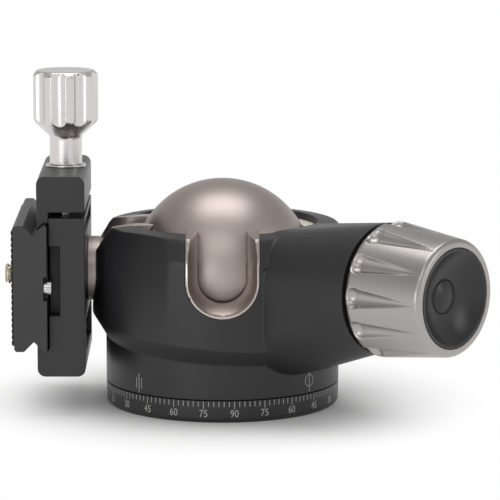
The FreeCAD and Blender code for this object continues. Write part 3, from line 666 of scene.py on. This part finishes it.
# Pan lock at the back. A small fluted aluminium knob on a steel screw, which presses a brass pad
# on the post of the base.
pan_turn = 90.0
pan_height = 10.9
pan_start = 39.6
pan_length = 13.0
pan_radius = 8.0
pan_neck = 5.4
pan_neck_length = 1.2
pan_shoulder = 2.4
pan_edge = 1.2
pan_edge_run = 1.0
pan_flutes = 8
pan_cutter = 2.2
pan_bite = 0.8
pan_flute_start = 3.4
pan_flute_stop = 10.8
pan_columns = 320
corner_steps = 6
row_step = 0.35
fade_length = 0.5
grip_flute_edge = 0.3


def refined(line, step):
    """A line with points added: each stretch is divided evenly into as many parts as steps fit in it."""
    pieces = []
    for start, stop in zip(line, line[1:]):
        count = max(1, int(np.linalg.norm(stop - start) / step))
        pieces.append(start + (stop - start) * (np.arange(count) / count)[:, None])
    return np.concatenate(pieces + [line[-1:]])


def fluted_grip(name, corners, place, columns, radius, flutes, cutter, bite, start, stop):
    """A turned grip with straight flutes from start to stop. Each is cut by a round bar of radius
    cutter, whose axis is radius - bite + cutter out, and fades over the fade length at both ends."""
    rows = refined(eased(corners, corner_steps), row_step)
    along = rows[:, :1]
    plain = np.repeat(rows[:, 1:2], columns, axis=1)
    fade = np.clip((along - start) / fade_length, 0, 1) * np.clip((stop - along) / fade_length, 0, 1)
    cut = scooped(radius - bite * fade + cutter, np.where(fade > 0, cutter, 0),
                  from_flute(columns, flutes, np.pi / flutes))
    radii = np.where(rows[:, 1:2] > 0, blended_least(plain, cut, grip_flute_edge), plain)
    return turned(name, rows, place, columns, radii)


pan_corners = [(0, 0, 0), (0, pan_neck, 0.2), (pan_neck_length, pan_neck, 0.3),
               (pan_shoulder, pan_radius, 0.5), (pan_length - pan_edge_run, pan_radius, 0.6),
               (pan_length, pan_radius - pan_edge, 0.4), (pan_length, 0, 0)]
pan_place = bearings((0, pan_start, pan_height), pan_turn)
pan_axis = ((0, 0, -pan_turn), (0, 0, -pan_height))
pan_finish = finish("pan_knob_turned_aluminium", bare_aluminium, 1.0, 0.33, axis=pan_axis,
                    rings=3500.0, ring_share=0.85, vary=0.06)
pan_mesh = fluted_grip("pan_lock_grip", pan_corners, pan_place, pan_columns, pan_radius, pan_flutes,
                       pan_cutter, pan_bite, pan_flute_start, pan_flute_stop)
fitted(pan_mesh, "pan_lock", pan_finish, ["pan_knob"])
kept("pan_screw", turned_steel)
kept("pan_lock_pad", turned_brass)

# Clamp. A fixed half bolted to the stem and a moving jaw on two steel guide pins, both milled from
# bar, blasted and anodised black, with a dovetail channel between them.
clamp_black = finish("clamp_black_anodised", (0.019, 0.019, 0.021), 0.12, 0.40, grain=2800.0,
                     vary=0.15)
soft_edged("clamp_body", "clamp_fixed_half", 0.35, clamp_black)
soft_edged("moving_jaw", "clamp_moving_jaw", 0.35, clamp_black)
kept("guide_pins", screw_steel)

# Clamp knob. Turned aluminium with nine straight flutes, a plain neck and a steel washer under it,
# on the screw that draws the jaw down.
grip_centre = -47.6
grip_base = 73.1
grip_neck = 4.9
grip_neck_height = 8.6
grip_start = 11.2
grip_end = 28.6
grip_radius = 9.9
grip_shoulder = 2.2
grip_edge = 1.2
grip_flutes = 9
grip_cutter = 2.6
grip_bite = 1.3
grip_flute_start = 11.6
grip_columns = 360
grip_corners = [(0, 0, 0), (0, grip_neck, 0.2), (grip_neck_height, grip_neck, 0.8),
                (grip_start, grip_radius - grip_shoulder, 0.4),
                (grip_start + grip_shoulder, grip_radius, 1.0), (grip_end - grip_edge, grip_radius, 0.5),
                (grip_end, grip_radius - grip_edge, 0.5), (grip_end, 0, 0)]
grip_aluminium = (0.66, 0.64, 0.625)
grip_axis = ((0, 90, 0), (0, 0, grip_centre))
grip_finish = finish("clamp_knob_turned_aluminium", grip_aluminium, 1.0, 0.27, axis=grip_axis,
                     rings=3500.0, ring_share=0.85, vary=0.06)
grip_place = bearings((grip_centre, 0, grip_base))
grip_mesh = fluted_grip("clamp_knob_grip", grip_corners, grip_place, grip_columns, grip_radius,
                        grip_flutes, grip_cutter, grip_bite, grip_flute_start, grip_end)
fitted(grip_mesh, "clamp_knob", grip_finish, ["clamp_knob"])
grip_steel = finish("jaw_screw_steel", screw_grey, 1.0, 0.26, axis=grip_axis, ring_share=0.8)
kept("jaw_screw", grip_steel)
soft_edged("clamp_knob_washer", "clamp_washer", 0.1, grip_steel)

# Camera plate. An extruded dovetail bar, blasted and anodised black, with a facing of ribbed rubber
# and a steel stop screw near each end.
dovetail_black = finish("plate_black_anodised", (0.030, 0.030, 0.032), 0.15, 0.42, grain=2800.0)
pad_rubber = finish("ribbed_rubber", (0.018, 0.018, 0.018), 0.0, 0.75, grain=1500.0, depth=0.00004)
soft_edged("camera_plate", "quick_plate", 0.2, dovetail_black)
soft_edged("camera_pad", "plate_facing", 0.08, pad_rubber)
soft_edged("stop_screws", "plate_stop_screws", 0.2, screw_steel)

# Camera screw. Steel, held captive in the plate by its wide head, with a coarse thread that is
# rolled on its free end and runs into the plain neck.
screw_height = 39.3
screw_low = 52.5
screw_head = 7.0
screw_head_top = 55.1
screw_neck = 2.5
thread_start = 62.9
thread_end = 66.3
thread_radius = 3.175
thread_depth = 0.62
thread_pitch = 1.27
thread_steepness = 2.4
thread_crest = 0.15
thread_lead_in = 0.7
thread_gap = 0.05
screw_columns = 72
thread_steps = 64
thread_rows = np.linspace(thread_start, thread_end, thread_steps)
screw_line = np.concatenate([
    eased([(screw_low, 0, 0), (screw_low, screw_head, 0.4), (screw_head_top, screw_head, 0.3),
           (screw_head_top, screw_neck, 0.2), (thread_start - thread_gap, screw_neck, 0)]),
    np.stack([thread_rows, np.full_like(thread_rows, thread_radius)], 1),
    [[thread_end, 0]]])
screw_angle = np.arange(screw_columns) / screw_columns
phase = (screw_line[:, :1] / thread_pitch - screw_angle) % 1
valley = np.clip(np.abs(phase - 0.5) * thread_steepness - thread_crest, 0, 1)
lead_in = np.clip((thread_end - screw_line[:, :1]) / thread_lead_in, 0, 1)
threaded = thread_radius - thread_depth * np.maximum(valley, 1 - lead_in)
on_thread = (screw_line[:, :1] >= thread_start) & (screw_line[:, 1:2] > 0)
screw_radii = np.where(on_thread, threaded, screw_line[:, 1:2])
thread_finish = finish("camera_screw_steel", (0.62, 0.57, 0.48), 1.0, 0.26,
                       axis=((0, 0, 180), (0, 0, -screw_height)), ring_share=0.7)
screw_place = bearings((0, 0, screw_height), 180)
screw_mesh = turned("camera_screw_threaded", screw_line, screw_place, screw_columns, screw_radii)
fitted(screw_mesh, "camera_screw", thread_finish, ["camera_screw"])

# Studio. A pale floor that turns plain white away from the object, soft lamps above and around it,
# and a camera a metre off at the photograph's height and angle.
floor_half = 4.0
shadow_zone = 0.036
white_zone = 0.085
floor_mesh = bpy.data.meshes.new("studio_floor")
floor_mesh.from_pydata([(-floor_half, -floor_half, 0), (floor_half, -floor_half, 0),
                        (floor_half, floor_half, 0), (-floor_half, floor_half, 0)], [], [(0, 1, 2, 3)])
floor = bpy.data.objects.new("studio_floor", floor_mesh)
bpy.context.scene.collection.objects.link(floor)
floor_paper = bpy.data.materials.new("floor_paper")
floor_paper.use_nodes = True
tree = floor_paper.node_tree
paper = tree.nodes["Principled BSDF"]
paper.inputs["Base Color"].default_value = (0.90, 0.90, 0.90, 1)
paper.inputs["Roughness"].default_value = 0.9
paper.inputs["Specular IOR Level"].default_value = 0.1
glow = tree.nodes.new("ShaderNodeEmission")
path = tree.nodes.new("ShaderNodeLightPath")
seen = tree.nodes.new("ShaderNodeMath")
seen.operation = "ADD"
seen_through = tree.nodes.new("ShaderNodeMath")
seen_through.operation = "ADD"
seen_through.use_clamp = True
spot = tree.nodes.new("ShaderNodeTexCoord")
away = tree.nodes.new("ShaderNodeVectorMath")
away.operation = "LENGTH"
fade = tree.nodes.new("ShaderNodeMapRange")
fade.interpolation_type = "SMOOTHSTEP"
fade.inputs["From Min"].default_value = shadow_zone
fade.inputs["From Max"].default_value = white_zone
share = tree.nodes.new("ShaderNodeMath")
share.operation = "MULTIPLY"
blend = tree.nodes.new("ShaderNodeMixShader")
join = tree.links.new
join(path.outputs["Is Camera Ray"], seen.inputs[0])
join(path.outputs["Is Glossy Ray"], seen.inputs[1])
join(seen.outputs[0], seen_through.inputs[0])
join(path.outputs["Is Transmission Ray"], seen_through.inputs[1])
join(spot.outputs["Object"], away.inputs[0])
join(away.outputs["Value"], fade.inputs["Value"])
join(fade.outputs["Result"], share.inputs[0])
join(seen_through.outputs[0], share.inputs[1])
join(share.outputs[0], blend.inputs[0])
join(paper.outputs[0], blend.inputs[1])
join(glow.outputs[0], blend.inputs[2])
join(blend.outputs[0], tree.nodes["Material Output"].inputs["Surface"])
floor_mesh.materials.append(floor_paper)

world = bpy.data.worlds.new("studio")
bpy.context.scene.world = world
world.use_nodes = True
sky = world.node_tree
direction = sky.nodes.new("ShaderNodeTexCoord")
rise = sky.nodes.new("ShaderNodeSeparateXYZ")
shade = sky.nodes.new("ShaderNodeValToRGB")
shade.color_ramp.elements[0].position = 0.0
shade.color_ramp.elements[0].color = (0.85, 0.85, 0.85, 1)
shade.color_ramp.elements[1].position = 0.45
shade.color_ramp.elements[1].color = (0.50, 0.49, 0.485, 1)
sky.links.new(direction.outputs["Generated"], rise.inputs[0])
sky.links.new(rise.outputs["Z"], shade.inputs["Fac"])
sky.links.new(shade.outputs["Color"], sky.nodes["Background"].inputs["Color"])


def softbox(name, place, aim, width, height, watts):
    """A flat lamp at a place, in metres, turned to face the aim."""
    lamp = bpy.data.lights.new(name, "AREA")
    lamp.shape = "RECTANGLE"
    lamp.size = width
    lamp.size_y = height
    lamp.energy = watts
    holder = bpy.data.objects.new(name, lamp)
    bpy.context.scene.collection.objects.link(holder)
    holder.location = place
    gaze = Vector(aim) - Vector(place)
    holder.rotation_euler = gaze.to_track_quat("-Z", "Y").to_euler()


softbox("overhead", (0.0, 0.10, 1.05), (0, 0, 0.04), 0.8, 0.6, 3.8)
softbox("front_top", (-0.1, -0.95, 0.85), (0, 0, 0.05), 0.8, 0.5, 1.7)
softbox("front_left", (-0.60, -1.05, 0.16), (0, 0, 0.04), 0.6, 0.25, 1.9)
softbox("right_fill", (1.0, -0.45, 0.45), (0, 0, 0.05), 0.4, 0.6, 1.6)

view_distance = 1.0089
view_rise = math.radians(9.57)
aim_height = 0.040
camera_data = bpy.data.cameras.new("photo_camera")
camera_data.sensor_width = 36.0
camera_data.lens = 237.6
camera_data.shift_x = 0.055
camera_data.shift_y = 0.0418
camera = bpy.data.objects.new("photo_camera", camera_data)
camera.location = (0, -view_distance * math.cos(view_rise),
                   aim_height + view_distance * math.sin(view_rise))
camera.rotation_euler = (math.pi / 2 - view_rise, 0, 0)
bpy.context.scene.collection.objects.link(camera)
bpy.context.scene.camera = camera
bpy.context.scene.view_settings.view_transform = "Standard"
